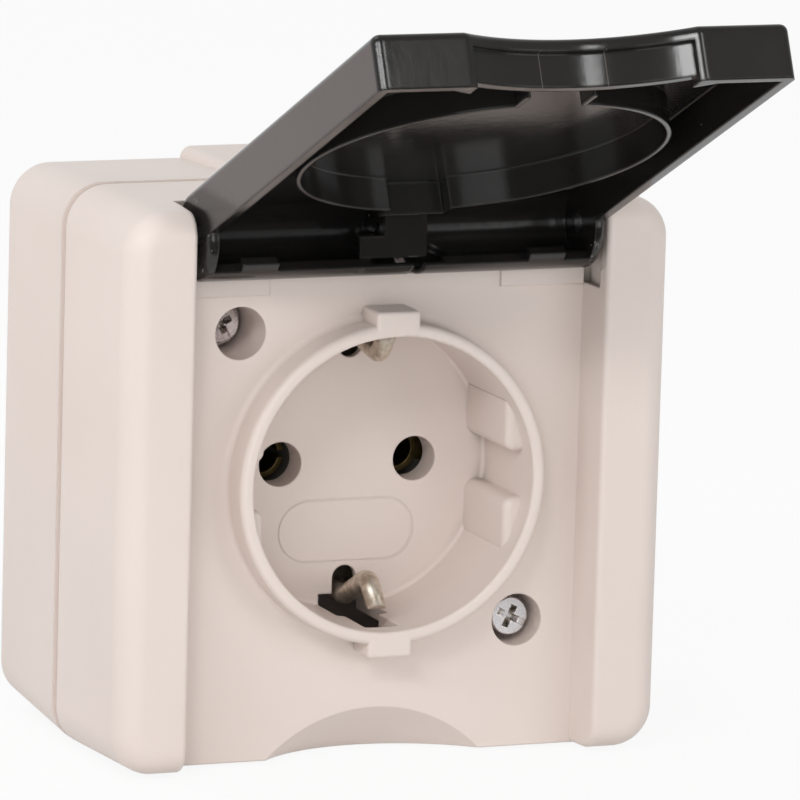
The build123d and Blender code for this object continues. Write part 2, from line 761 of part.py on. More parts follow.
# Contact carrier: the block behind the well that holds the live parts
contact_radius = pin_radius + contact_wall
chamber_radius = contact_radius + clip_wall + chamber_gap
block_front = carrier_front - terminal_sunk
block_back = block_front - terminal_depth
contact_front = carrier_front - contact_sink
tail_middle = (pin_spacing / 2 + terminal_x) / 2
with BuildPart() as contact_carrier:
    with BuildSketch(facing(carrier_back)):
        RectangleRounded(carrier_width, carrier_height, carrier_round)
    extrude(amount=carrier_front - carrier_back)
    with BuildSketch(facing(carrier_front)):
        with Locations((-pin_spacing / 2, 0), (pin_spacing / 2, 0)):
            Circle(chamber_radius)
    extrude(amount=-(contact_length + contact_sink), mode=Mode.SUBTRACT)
    with BuildSketch(facing(carrier_front)):
        with Locations((-terminal_x, 0), (terminal_x, 0)):
            Rectangle(terminal_width + 2 * terminal_gap, terminal_height + 2 * terminal_gap)
    extrude(amount=-(carrier_front - block_back), mode=Mode.SUBTRACT)
    with BuildSketch(facing(carrier_front)):
        with Locations((-tail_middle, 0), (tail_middle, 0)):
            Rectangle(terminal_x - pin_spacing / 2, tail_width + 2 * terminal_gap)
    extrude(amount=-terminal_sunk, mode=Mode.SUBTRACT)
    with BuildSketch(facing(carrier_front)):
        Rectangle(strap_width + 2 * terminal_gap, 2 * carrier_height)
    extrude(amount=-(strap_sunk + strap_thickness), mode=Mode.SUBTRACT)
    with BuildSketch(facing(strap_front - strap_thickness)):
        Rectangle(terminal_width + 2 * terminal_gap, terminal_height + 2 * terminal_gap)
    extrude(amount=-terminal_depth, mode=Mode.SUBTRACT)
    with BuildSketch(facing(carrier_front)):
        with Locations(*carrier_screw_spots):
            Circle(screw_head_radius + terminal_gap)
    extrude(amount=-(carrier_front - carrier_screw_seat), mode=Mode.SUBTRACT)
    with BuildSketch(facing(carrier_screw_seat)):
        with Locations(*carrier_screw_spots):
            Circle(screw_radius + screw_clearance)
    extrude(amount=-(carrier_screw_seat - carrier_back), mode=Mode.SUBTRACT)
    # Wire entries from the two sides, and from below for the earth wire
    for start, turn in ((-carrier_width / 2, 1), (carrier_width / 2, -1)):
        with BuildSketch(side(start)):
            with Locations((-(block_front + block_back) / 2, 0)):
                Circle(wire_radius + terminal_gap)
        extrude(amount=turn * (carrier_width / 2 - terminal_x), mode=Mode.SUBTRACT)
    earth_block_middle = strap_front - strap_thickness - terminal_depth / 2
    with BuildSketch(Plane.XY.offset(-carrier_height / 2)):
        with Locations((0, -earth_block_middle)):
            Circle(wire_radius + terminal_gap)
    extrude(amount=carrier_height / 2, mode=Mode.SUBTRACT)
finish(contact_carrier.part, "contact_carrier")

carrier_screw = pan_screw(carrier_screw_seat - rear_wall, False)
with BuildPart() as carrier_screws:
    with Locations(*[(x, -carrier_screw_seat, z) for x, z in carrier_screw_spots]):
        add(carrier_screw)
finish(carrier_screws.part, "carrier_screws")


def pin_contact(sign, name):
    """Makes a slit contact sleeve with the tail that goes under its terminal screw."""
    with BuildPart() as contact:
        with BuildSketch(facing(contact_front)):
            with Locations((sign * pin_spacing / 2, 0)):
                Circle(contact_radius)
                Circle(pin_radius, mode=Mode.SUBTRACT)
        extrude(amount=-contact_length)
        with BuildSketch(facing(contact_front)):
            with Locations((sign * (pin_spacing - contact_radius) / 2, 0)):
                Rectangle(contact_radius, contact_slit)
        extrude(amount=-contact_length, mode=Mode.SUBTRACT)
        tail_from = pin_spacing / 2 + pin_radius + contact_wall / 2
        tail_to = terminal_x + terminal_width / 2
        with BuildSketch(facing(block_front)):
            with Locations((sign * (tail_from + tail_to) / 2, 0)):
                Rectangle(tail_to - tail_from, tail_width)
            with Locations((sign * terminal_x, 0)):
                Circle(screw_radius + screw_clearance, mode=Mode.SUBTRACT)
        extrude(amount=tail_thickness)
    finish(contact.part, name)


pin_contact(-1, "line_contact")
pin_contact(1, "neutral_contact")

# Steel clips that press the slit sleeves on the plug's pins
with BuildPart() as contact_clips:
    with BuildSketch(facing(contact_front - clip_inset)):
        for sign in (-1, 1):
            with Locations((sign * pin_spacing / 2, 0)):
                Circle(contact_radius + clip_wall)
                Circle(contact_radius, mode=Mode.SUBTRACT)
                with Locations((-sign * contact_radius, 0)):
                    Rectangle(2 * clip_wall + contact_wall, contact_slit, mode=Mode.SUBTRACT)
    extrude(amount=-clip_length)
finish(contact_clips.part, "contact_clips")


def terminal(x, front, wire_along_x, name):
    """Makes a brass terminal block with a screw hole and a wire hole."""
    with BuildPart() as block:
        with BuildSketch(facing(front)):
            with Locations((x, 0)):
                Rectangle(terminal_width, terminal_height)
        extrude(amount=-terminal_depth)
        with BuildSketch(facing(front)):
            with Locations((x, 0)):
                Circle(screw_radius)
        extrude(amount=-terminal_bite, mode=Mode.SUBTRACT)
        wire_depth = front - terminal_depth / 2
        if wire_along_x:
            with BuildSketch(side(x - terminal_width / 2)):
                with Locations((-wire_depth, 0)):
                    Circle(wire_radius)
            extrude(amount=terminal_width, mode=Mode.SUBTRACT)
        else:
            with BuildSketch(Plane.XY.offset(-terminal_height / 2)):
                with Locations((x, -wire_depth)):
                    Circle(wire_radius)
            extrude(amount=terminal_height, mode=Mode.SUBTRACT)
    finish(block.part, name)


terminal(-terminal_x, block_front, True, "line_terminal")
terminal(terminal_x, block_front, True, "neutral_terminal")
terminal(0, strap_front - strap_thickness, False, "earth_terminal")

# Clamp washers and terminal screws, on the two tails and on the earth strap
clamp_spots = (
    (-terminal_x, block_front + tail_thickness),
    (terminal_x, block_front + tail_thickness),
    (0, strap_front),
)
with BuildPart() as clamp_washers:
    for x, seat in clamp_spots:
        with BuildSketch(facing(seat)):
            with Locations((x, 0)):
                Rectangle(clamp_size, clamp_size)
                Circle(screw_radius + screw_clearance, mode=Mode.SUBTRACT)
        extrude(amount=clamp_thickness)
finish(clamp_washers.part, "clamp_washers")

terminal_screw = pan_screw(clamp_thickness + terminal_bite, False)
with BuildPart() as terminal_screws:
    with Locations(*[(x, -seat - clamp_thickness, 0) for x, seat in clamp_spots]):
        add(terminal_screw)
finish(terminal_screws.part, "terminal_screws")

# Earth strap: a bar across the carrier with a bent round clip at each end, reaching into the well
strap_middle = strap_front - strap_thickness / 2
with BuildPart() as earth_strap:
    with BuildSketch(facing(strap_front)):
        Rectangle(strap_width, carrier_height)
        Rectangle(2 * clip_bar_radius, 2 * (clip_root + clip_bar_radius))
        Circle(screw_radius + screw_clearance, mode=Mode.SUBTRACT)
    extrude(amount=-strap_thickness)
    for up, apex in ((-1, clip_apex), (1, clip_apex + upper_clip_set)):
        with BuildLine(side(0)):
            FilletPolyline(
                (-strap_middle, up * clip_root),
                (-floor_depth, up * clip_root),
                (-clip_apex_depth, up * apex),
                (-clip_apex_depth - clip_tip_run, up * clip_tip),
                radius=clip_bend,
            )
        with BuildSketch(Plane((0, -strap_middle, up * clip_root), x_dir=(1, 0, 0), z_dir=(0, -1, 0))):
            Circle(clip_bar_radius)
        sweep()
    clip_tips = earth_strap.faces().filter_by(GeomType.PLANE).sort_by(Axis.Y)[:2]
    fillet(clip_tips.edges(), clip_edge_round)
finish(earth_strap.part, "earth_strap")
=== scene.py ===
import json
import math

import bmesh
import bpy
from mathutils import Matrix, Quaternion, Vector


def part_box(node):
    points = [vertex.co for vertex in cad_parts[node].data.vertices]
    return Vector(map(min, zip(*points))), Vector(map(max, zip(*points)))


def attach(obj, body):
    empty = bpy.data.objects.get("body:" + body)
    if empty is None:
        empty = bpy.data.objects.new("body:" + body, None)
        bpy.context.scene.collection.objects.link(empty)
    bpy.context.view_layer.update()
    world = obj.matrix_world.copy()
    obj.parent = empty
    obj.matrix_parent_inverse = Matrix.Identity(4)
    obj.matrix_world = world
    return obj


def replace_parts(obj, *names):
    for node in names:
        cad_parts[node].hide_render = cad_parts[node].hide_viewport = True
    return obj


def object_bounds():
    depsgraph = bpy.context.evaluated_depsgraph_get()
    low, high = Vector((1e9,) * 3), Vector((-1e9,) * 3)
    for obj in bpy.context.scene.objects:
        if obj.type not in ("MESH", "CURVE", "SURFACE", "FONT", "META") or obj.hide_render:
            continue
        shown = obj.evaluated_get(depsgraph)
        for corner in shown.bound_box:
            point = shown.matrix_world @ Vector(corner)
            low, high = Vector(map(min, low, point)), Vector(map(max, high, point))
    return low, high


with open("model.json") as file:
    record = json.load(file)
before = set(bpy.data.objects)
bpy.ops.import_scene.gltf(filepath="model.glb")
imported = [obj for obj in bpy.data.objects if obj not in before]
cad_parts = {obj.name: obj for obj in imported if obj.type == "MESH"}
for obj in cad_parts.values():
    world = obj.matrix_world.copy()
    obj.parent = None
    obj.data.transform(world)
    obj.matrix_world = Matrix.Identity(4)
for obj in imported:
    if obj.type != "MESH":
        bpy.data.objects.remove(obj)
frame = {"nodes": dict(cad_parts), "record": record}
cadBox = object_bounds()
nodes = frame["nodes"]
print("frame loaded:", len(nodes), "pieces")


# Small helpers for shader trees

def addNode(tree, kind, **settings):
    node = tree.nodes.new(kind)
    for key, value in settings.items():
        setattr(node, key, value)
    return node


def setInputs(node, **values):
    for key, value in values.items():
        node.inputs[key].default_value = value
    return node


def mathNode(tree, operation, first, second):
    node = addNode(tree, "ShaderNodeMath", operation=operation)
    for socket, value in zip(node.inputs, (first, second)):
        if isinstance(value, (int, float)):
            socket.default_value = value
        else:
            tree.links.new(value, socket)
    return node.outputs[0]


def makeGroup(name, inputs, outputs):
    group = bpy.data.node_groups.new(name, "ShaderNodeTree")
    for label, value in inputs.items():
        socket = group.interface.new_socket(label, in_out="INPUT", socket_type="NodeSocketFloat")
        socket.default_value = value
    for label in outputs:
        group.interface.new_socket(label, in_out="OUTPUT", socket_type="NodeSocketFloat")
    return group, addNode(group, "NodeGroupInput"), addNode(group, "NodeGroupOutput")


def placeGroup(tree, group, **values):
    node = addNode(tree, "ShaderNodeGroup")
    node.node_tree = group
    for key, value in values.items():
        node.inputs[key].default_value = value
    return node


def objectCoords(tree):
    return addNode(tree, "ShaderNodeTexCoord").outputs["Object"]


# Effects that several materials share

def mouldGrainGroup():
    # fine eroded texture of a moulding tool, and a slow drift of tone
    group, start, end = makeGroup("mouldGrain", {"Grain": 1800.0, "Drift": 28.0}, ("Height", "Tone"))
    place = objectCoords(group)
    grain = addNode(group, "ShaderNodeTexNoise", noise_dimensions="3D")
    setInputs(grain, Detail=3.0, Roughness=0.6)
    drift = addNode(group, "ShaderNodeTexNoise", noise_dimensions="3D")
    setInputs(drift, Detail=2.0, Roughness=0.5)
    group.links.new(place, grain.inputs["Vector"])
    group.links.new(place, drift.inputs["Vector"])
    group.links.new(start.outputs["Grain"], grain.inputs["Scale"])
    group.links.new(start.outputs["Drift"], drift.inputs["Scale"])
    group.links.new(grain.outputs["Fac"], end.inputs["Height"])
    group.links.new(drift.outputs["Fac"], end.inputs["Tone"])
    return group


def dustSpecksGroup():
    # sparse tiny specks: a few cells of a fine pattern, each with a small dot
    group, start, end = makeGroup("dustSpecks", {"Density": 260.0, "Share": 0.05, "Size": 0.12}, ("Mask",))
    cells = addNode(group, "ShaderNodeTexVoronoi", feature="F1", distance="EUCLIDEAN")
    group.links.new(objectCoords(group), cells.inputs["Vector"])
    group.links.new(start.outputs["Density"], cells.inputs["Scale"])
    chosen = addNode(group, "ShaderNodeSeparateColor")
    group.links.new(cells.outputs["Color"], chosen.inputs["Color"])
    inCell = mathNode(group, "LESS_THAN", chosen.outputs["Red"], start.outputs["Share"])
    dotSize = mathNode(group, "MULTIPLY", chosen.outputs["Green"], start.outputs["Size"])
    inDot = mathNode(group, "LESS_THAN", cells.outputs["Distance"], dotSize)
    group.links.new(mathNode(group, "MULTIPLY", inCell, inDot), end.inputs["Mask"])
    return group


def fineScratchesGroup():
    # long thin noise, stretched along Y once turned about X, for handling marks and drawn metal
    group, start, end = makeGroup("fineScratches", {"Scale": 900.0, "Stretch": 0.04, "Turn": 0.0}, ("Lines",))
    turned = addNode(group, "ShaderNodeVectorRotate", rotation_type="X_AXIS")
    group.links.new(objectCoords(group), turned.inputs["Vector"])
    group.links.new(start.outputs["Turn"], turned.inputs["Angle"])
    stretch = addNode(group, "ShaderNodeCombineXYZ")
    setInputs(stretch, X=1.0, Z=1.0)
    group.links.new(start.outputs["Stretch"], stretch.inputs["Y"])
    long = addNode(group, "ShaderNodeVectorMath", operation="MULTIPLY")
    group.links.new(turned.outputs[0], long.inputs[0])
    group.links.new(stretch.outputs[0], long.inputs[1])
    noise = addNode(group, "ShaderNodeTexNoise", noise_dimensions="3D")
    setInputs(noise, Detail=4.0, Roughness=0.7)
    group.links.new(long.outputs[0], noise.inputs["Vector"])
    group.links.new(start.outputs["Scale"], noise.inputs["Scale"])
    group.links.new(noise.outputs["Fac"], end.inputs["Lines"])
    return group


def cavityShadeGroup():
    # painted shade in holes and inner corners: a mask read from the piece's own form by ambient occlusion
    group, start, end = makeGroup("cavityShade", {"Reach": 0.006, "Open": 0.50, "Closed": 0.15}, ("Mask",))
    closeness = addNode(group, "ShaderNodeAmbientOcclusion", samples=8, only_local=True)
    group.links.new(start.outputs["Reach"], closeness.inputs["Distance"])
    spread = addNode(group, "ShaderNodeMapRange")
    setInputs(spread, **{"To Min": 0.0, "To Max": 1.0})
    group.links.new(closeness.outputs["AO"], spread.inputs["Value"])
    group.links.new(start.outputs["Open"], spread.inputs["From Min"])
    group.links.new(start.outputs["Closed"], spread.inputs["From Max"])
    group.links.new(spread.outputs["Result"], end.inputs["Mask"])
    return group


mouldGrain = mouldGrainGroup()
dustSpecks = dustSpecksGroup()
fineScratches = fineScratchesGroup()
cavityShade = cavityShadeGroup()
print("effects ready")


# Materials

def startMaterial(name):
    material = bpy.data.materials.new(name)
    material.use_nodes = True
    return material, material.node_tree, material.node_tree.nodes["Principled BSDF"]


toneStops = {"dark": 0.3, "light": 0.7}
edgeSamples = 6


def toneRamp(tree, source, look):
    # a slow change between a finish's dark and light tone
    node = addNode(tree, "ShaderNodeValToRGB")
    for element, (key, position) in zip(node.color_ramp.elements, toneStops.items()):
        element.position = position
        element.color = (*look[key], 1.0)
    tree.links.new(source, node.inputs["Fac"])
    return node.outputs["Color"]


def rangeNode(tree, source, low, high):
    node = addNode(tree, "ShaderNodeMapRange")
    setInputs(node, **{"To Min": low, "To Max": high})
    tree.links.new(source, node.inputs["Value"])
    return node.outputs["Result"]


def layColor(tree, under, mask, color):
    # a flat colour laid over another one where the mask says so
    layer = addNode(tree, "ShaderNodeMix", data_type="RGBA")
    layer.inputs["B"].default_value = (*color, 1.0)
    tree.links.new(mask, layer.inputs["Factor"])
    tree.links.new(under, layer.inputs["A"])
    return layer.outputs["Result"]


def softEdgeBump(tree, shader, height, radius, look):
    # rounds the look of crisp moulded edges, then lays the fine grain on top
    edge = addNode(tree, "ShaderNodeBevel", samples=edgeSamples)
    if isinstance(radius, float):
        edge.inputs["Radius"].default_value = radius
    else:
        tree.links.new(radius, edge.inputs["Radius"])
    bump = addNode(tree, "ShaderNodeBump")
    setInputs(bump, Strength=look["bump"], Distance=look["bumpDepth"])
    tree.links.new(edge.outputs["Normal"], bump.inputs["Normal"])
    tree.links.new(height, bump.inputs["Height"])
    tree.links.new(bump.outputs["Normal"], shader.inputs["Normal"])


housingLook = {
    "light": (0.790, 0.695, 0.645),
    "dark": (0.760, 0.665, 0.612),
    "speck": (0.25, 0.21, 0.18),
    # painted shade for holes and inner corners: its colour and how strongly it is laid
    "paintedShade": (0.13, 0.112, 0.08),
    "paintedShadeShare": 0.90,
    "roughness": (0.36, 0.46),
    "ior": 1.48,
    "grain": 1700.0,
    "drift": 35.0,
    "specks": {"Density": 230.0, "Share": 0.035, "Size": 0.10},
    "edge": 0.00035,
    "bump": 0.12,
    "bumpDepth": 0.00004,
}


def housingPlastic(look):
    material, tree, shader = startMaterial("housingPlastic")
    grain = placeGroup(tree, mouldGrain, Grain=look["grain"], Drift=look["drift"])
    specks = placeGroup(tree, dustSpecks, **look["specks"])
    tone = toneRamp(tree, grain.outputs["Tone"], look)
    # painted shade: the base colour darkens towards a brown-black in holes and inner corners
    recess = placeGroup(tree, cavityShade)
    paintedShade = mathNode(tree, "MULTIPLY", recess.outputs["Mask"], look["paintedShadeShare"])
    dusty = layColor(tree, tone, specks.outputs["Mask"], look["speck"])
    tree.links.new(layColor(tree, dusty, paintedShade, look["paintedShade"]), shader.inputs["Base Color"])
    tree.links.new(rangeNode(tree, grain.outputs["Height"], *look["roughness"]), shader.inputs["Roughness"])
    setInputs(shader, IOR=look["ior"])
    softEdgeBump(tree, shader, grain.outputs["Height"], look["edge"], look)
    return material


hinge = frame["record"]["behaviour"]["joints"][0]

lidLook = {
    "dark": (0.0125, 0.0115, 0.0108),
    "light": (0.0185, 0.0170, 0.0160),
    "wearAndSheen": (0.19, 0.17, 0.15),
    "roughness": (0.10, 0.24),
    "ior": 1.48,
    "grain": 700.0,
    "drift": 60.0,
    "flow": {"Scale": 900.0, "Stretch": 0.12},
    "flowShare": 0.5,
    "specks": {"Density": 420.0, "Share": 0.05, "Size": 0.09},
    "bump": 0.14,
    "bumpDepth": 0.00008,
    "edge": 0.0005,
    "corner": 0.0018,        # the two front corners are rounder
    "cornerX": 0.0300,
    "cornerFrom": -0.0980,
    "opened": math.radians(hinge["range_deg"][1]),
    "partingX": 0.0044,      # two flash lines left by the notch's slide
    "partingWidth": 0.00007,
    # painted highlight: the share of the pale colour laid on the flash lines
    "partingShine": 0.35,
    "partingFrom": -0.0960,  # only on the thumb wall, in front of this Y
    "partingTop": 0.0160,    # and below its lip, measured along the lid's outward side
    "earX": 0.0262,          # scuffs on the two hinge ears, outside this X
    "earReach": 0.0062,      # and this near the hinge axis
    "rubs": {"Scale": 1500.0, "Stretch": 0.35, "Turn": 0.6},
    "rubAbove": 0.63,
}


def partingLines(tree, look, axes):
    sideways = mathNode(tree, "ABSOLUTE", axes.outputs["X"], 0.0)
    offLine = mathNode(tree, "ABSOLUTE", mathNode(tree, "SUBTRACT", sideways, look["partingX"]), 0.0)
    onLine = mathNode(tree, "LESS_THAN", offLine, look["partingWidth"])
    inFront = mathNode(tree, "LESS_THAN", axes.outputs["Y"], look["partingFrom"])
    outY = mathNode(tree, "MULTIPLY", axes.outputs["Y"], -math.cos(look["opened"]))
    outZ = mathNode(tree, "MULTIPLY", axes.outputs["Z"], math.sin(look["opened"]))
    underLip = mathNode(tree, "LESS_THAN", mathNode(tree, "ADD", outY, outZ), look["partingTop"])
    return mathNode(tree, "MULTIPLY", onLine, mathNode(tree, "MULTIPLY", inFront, underLip))


def cornerRounding(tree, look, axes):
    sideways = mathNode(tree, "ABSOLUTE", axes.outputs["X"], 0.0)
    outside = mathNode(tree, "GREATER_THAN", sideways, look["cornerX"])
    inFront = mathNode(tree, "LESS_THAN", axes.outputs["Y"], look["cornerFrom"])
    return rangeNode(tree, mathNode(tree, "MULTIPLY", outside, inFront), look["edge"], look["corner"])


def earScuffs(tree, look, axes):
    # pale rubbed patches where the ears turn between the cheeks
    outside = mathNode(tree, "GREATER_THAN", mathNode(tree, "ABSOLUTE", axes.outputs["X"], 0.0), look["earX"])
    offY = mathNode(tree, "SUBTRACT", axes.outputs["Y"], hinge["pos_m"][1])
    offZ = mathNode(tree, "SUBTRACT", axes.outputs["Z"], hinge["pos_m"][2])
    squared = mathNode(tree, "ADD", mathNode(tree, "POWER", offY, 2.0), mathNode(tree, "POWER", offZ, 2.0))
    nearHinge = mathNode(tree, "LESS_THAN", squared, look["earReach"] ** 2)
    onEar = mathNode(tree, "MULTIPLY", outside, nearHinge)
    rubs = placeGroup(tree, fineScratches, **look["rubs"])
    patchy = mathNode(tree, "GREATER_THAN", rubs.outputs["Lines"], look["rubAbove"])
    return mathNode(tree, "MULTIPLY", onEar, patchy)


def lidPlastic(look):
    material, tree, shader = startMaterial("lidPlastic")
    axes = addNode(tree, "ShaderNodeSeparateXYZ")
    tree.links.new(objectCoords(tree), axes.inputs[0])
    grain = placeGroup(tree, mouldGrain, Grain=look["grain"], Drift=look["drift"])
    flow = placeGroup(tree, fineScratches, **look["flow"], Turn=look["opened"])
    specks = placeGroup(tree, dustSpecks, **look["specks"])
    lines = partingLines(tree, look, axes)
    # dust specks and ear scuffs are real wear; the flash lines get the same pale colour as a painted
    # highlight
    wearAndSheen = mathNode(tree, "MAXIMUM", specks.outputs["Mask"], earScuffs(tree, look, axes))
    wearAndSheen = mathNode(tree, "MAXIMUM", wearAndSheen, mathNode(tree, "MULTIPLY", lines, look["partingShine"]))
    tone = toneRamp(tree, grain.outputs["Tone"], look)
    tree.links.new(layColor(tree, tone, wearAndSheen, look["wearAndSheen"]), shader.inputs["Base Color"])
    smear = mathNode(tree, "MULTIPLY", grain.outputs["Tone"], flow.outputs["Lines"])
    tree.links.new(rangeNode(tree, smear, *look["roughness"]), shader.inputs["Roughness"])
    setInputs(shader, IOR=look["ior"])
    flowLines = mathNode(tree, "MULTIPLY", flow.outputs["Lines"], look["flowShare"])
    texture = mathNode(tree, "ADD", grain.outputs["Height"], flowLines)
    rounding = cornerRounding(tree, look, axes)
    softEdgeBump(tree, shader, mathNode(tree, "ADD", texture, lines), rounding, look)
    return material


# each recess colour is painted shade laid in the piece's hollows; the zinc one also carries the olive
# chromate tint of the screw slots
metalLooks = {
    "zincSteel": {"dark": (0.80, 0.77, 0.78), "light": (0.92, 0.87, 0.89), "roughness": (0.20, 0.34),
                  "metallic": 1.0, "patches": 160.0, "recess": (0.21, 0.18, 0.07), "reach": 0.0012},
    "springSteel": {"dark": (0.42, 0.42, 0.43), "light": (0.60, 0.60, 0.61), "roughness": (0.22, 0.40),
                    "metallic": 1.0, "patches": 420.0, "recess": (0.20, 0.18, 0.15), "reach": 0.0012},
    "nickelPlate": {"dark": (0.40, 0.33, 0.25), "light": (0.76, 0.68, 0.59), "roughness": (0.24, 0.48),
                    "metallic": 0.75, "patches": 900.0, "recess": (0.16, 0.12, 0.08), "reach": 0.003},
    # tarnished brass, darkened further as painted shade, since the contacts are seen only down the pin holes
    "contactBrass": {"dark": (0.14, 0.10, 0.04), "light": (0.30, 0.22, 0.09), "roughness": (0.30, 0.50),
                     "metallic": 1.0, "patches": 420.0, "recess": (0.03, 0.02, 0.01), "reach": 0.006},
}


metalSurface = {"grain": 2600.0, "lines": {"Scale": 2600.0, "Stretch": 0.06}, "edge": 0.0002, "bump": 0.08,
                "bumpDepth": 0.00002}


def platedMetal(name, look):
    material, tree, shader = startMaterial(name)
    grain = placeGroup(tree, mouldGrain, Grain=metalSurface["grain"], Drift=look["patches"])
    lines = placeGroup(tree, fineScratches, **metalSurface["lines"])
    # painted shade: the tone darkens towards the recess colour in hollows
    recess = placeGroup(tree, cavityShade, Reach=look["reach"])
    tone = toneRamp(tree, grain.outputs["Tone"], look)
    tree.links.new(layColor(tree, tone, recess.outputs["Mask"], look["recess"]), shader.inputs["Base Color"])
    tree.links.new(rangeNode(tree, lines.outputs["Lines"], *look["roughness"]), shader.inputs["Roughness"])
    setInputs(shader, Metallic=look["metallic"])
    softEdgeBump(tree, shader, lines.outputs["Lines"], metalSurface["edge"], metalSurface)
    return material


mattLooks = {
    "sealRubber": {"dark": (0.30, 0.29, 0.28), "light": (0.40, 0.39, 0.38), "roughness": (0.62, 0.80)},
    "carrierPlastic": {"dark": (0.20, 0.19, 0.17), "light": (0.26, 0.24, 0.22), "roughness": (0.48, 0.60)},
}


mattGrain = {"grain": 1500.0, "drift": 80.0, "edge": 0.0002, "bump": 0.2, "bumpDepth": 0.00005}


def mattSurface(name, look):
    material, tree, shader = startMaterial(name)
    grain = placeGroup(tree, mouldGrain, Grain=mattGrain["grain"], Drift=mattGrain["drift"])
    tone = toneRamp(tree, grain.outputs["Tone"], look)
    tree.links.new(tone, shader.inputs["Base Color"])
    tree.links.new(rangeNode(tree, grain.outputs["Height"], *look["roughness"]), shader.inputs["Roughness"])
    softEdgeBump(tree, shader, grain.outputs["Height"], mattGrain["edge"], mattGrain)
    return material


finishes = {"housing_plastic": housingPlastic(housingLook), "lid_plastic": lidPlastic(lidLook)}
metalSlots = {"zinc_steel": "zincSteel", "spring_steel": "springSteel", "nickel_plate": "nickelPlate",
              "contact_brass": "contactBrass"}
for slotName, lookName in metalSlots.items():
    finishes[slotName] = platedMetal(lookName, metalLooks[lookName])
for slotName, lookName in {"seal_rubber": "sealRubber", "carrier_plastic": "carrierPlastic"}.items():
    finishes[slotName] = mattSurface(lookName, mattLooks[lookName])

for part in frame["record"]["subparts"]:
    slots = nodes[part["node"]].data.materials
    slots.clear()
    slots.append(finishes[part["material_slot"]])
print("finishes on", len(nodes), "pieces")


# Pieces with finer form than the frame's own

def addPiece(name, bm, body, slotName):
    bmesh.ops.recalc_face_normals(bm, faces=bm.faces)
    mesh = bpy.data.meshes.new(name)
    bm.to_mesh(mesh)
    bm.free()
    mesh.materials.append(finishes[slotName])
    piece = bpy.data.objects.new(name, mesh)
    bpy.context.scene.collection.objects.link(piece)
    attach(piece, body)
    return piece


def joinInto(whole, bm):
    mesh = bpy.data.meshes.new("joined")
    bm.to_mesh(mesh)
    bm.free()
    whole.from_mesh(mesh)
    bpy.data.meshes.remove(mesh)


def fillHoles(bm):
    bmesh.ops.holes_fill(bm, edges=[edge for edge in bm.edges if edge.is_boundary])


def newVerts(result):
    return [item for item in result["geom"] if isinstance(item, bmesh.types.BMVert)]


def withEdges(faces):
    # an extrusion drops the faces that it starts from only if it is given their edges too
    return list(faces) + list(dict.fromkeys(edge for face in faces for edge in face.edges))


coverScrewLook = {
    "cadRadius": 0.00275,
    "radius": 0.0026,
    "height": 0.0019,
    "shank": 0.0015,
    "slotWidth": 0.0009,
    "slotDepth": 0.0005,
    "edge": 0.00014,
    "crossLength": 0.0031,
    "crossDepth": 0.0015,
    "crossTaper": 0.55,
    "segments": 48,
    "outer": 0.97,           # shares that tell the slot's end walls and its floor from the rest
    "floor": 0.90,
    "mergeWithin": 0.000001,
    "proud": 0.0051,         # the lower one isn't driven home
    "slotTurns": (-62, -26),  # degrees, upper left and lower right
}


def growSkirt(bm, spread, height, mergeWithin):
    # carries the open border to a new height, wider or narrower
    border = [edge for edge in bm.edges if edge.is_boundary]
    verts = newVerts(bmesh.ops.extrude_edge_only(bm, edges=border))
    bmesh.ops.scale(bm, vec=(spread, spread, 1.0), verts=verts)
    for vert in verts:
        vert.co.z = height
    bmesh.ops.remove_doubles(bm, verts=verts, dist=mergeWithin)


def sinkFaces(bm, faces, depth, taper=1.0):
    verts = newVerts(bmesh.ops.extrude_face_region(bm, geom=withEdges(faces)))
    bmesh.ops.translate(bm, vec=(0, 0, -depth), verts=verts)
    bmesh.ops.scale(bm, vec=(taper, taper, 1.0), verts=verts)


def makeScrew(look, length):
    # head up: a disc cut across for the slot and the cross, then carried down to head and shank
    bm = bmesh.new()
    flat = look["radius"] - look["edge"]
    half, reach = look["slotWidth"] / 2, look["crossLength"] / 2
    bmesh.ops.create_circle(bm, cap_ends=True, segments=look["segments"], radius=flat)
    for offset in (-reach, -half, half, reach):
        for axis in ((1, 0, 0), (0, 1, 0)):
            geom = bm.verts[:] + bm.edges[:] + bm.faces[:]
            bmesh.ops.bisect_plane(bm, geom=geom, plane_co=Vector(axis) * offset, plane_no=axis)

    def inCross(face):
        across, along = (abs(c) for c in face.calc_center_median().xy)
        return min(across, along) < half and max(across, along) < reach

    slot = [f for f in bm.faces if inCross(f) or abs(f.calc_center_median().y) < half]
    sinkFaces(bm, slot, look["slotDepth"])
    ends = [f for f in bm.faces if all(v.co.xy.length > flat * look["outer"] for v in f.verts)]
    bmesh.ops.delete(bm, geom=ends, context="FACES")
    floor = -look["slotDepth"] * look["floor"]
    cross = [f for f in bm.faces if inCross(f) and f.calc_center_median().z < floor]
    sinkFaces(bm, cross, look["crossDepth"] - look["slotDepth"], look["crossTaper"])
    skirts = ((look["radius"] / flat, look["slotDepth"]), (1.0, look["height"]),
              (look["shank"] / look["radius"], look["height"]), (1.0, length))
    for spread, down in skirts:
        growSkirt(bm, spread, -down, look["mergeWithin"])
    fillHoles(bm)
    return bm


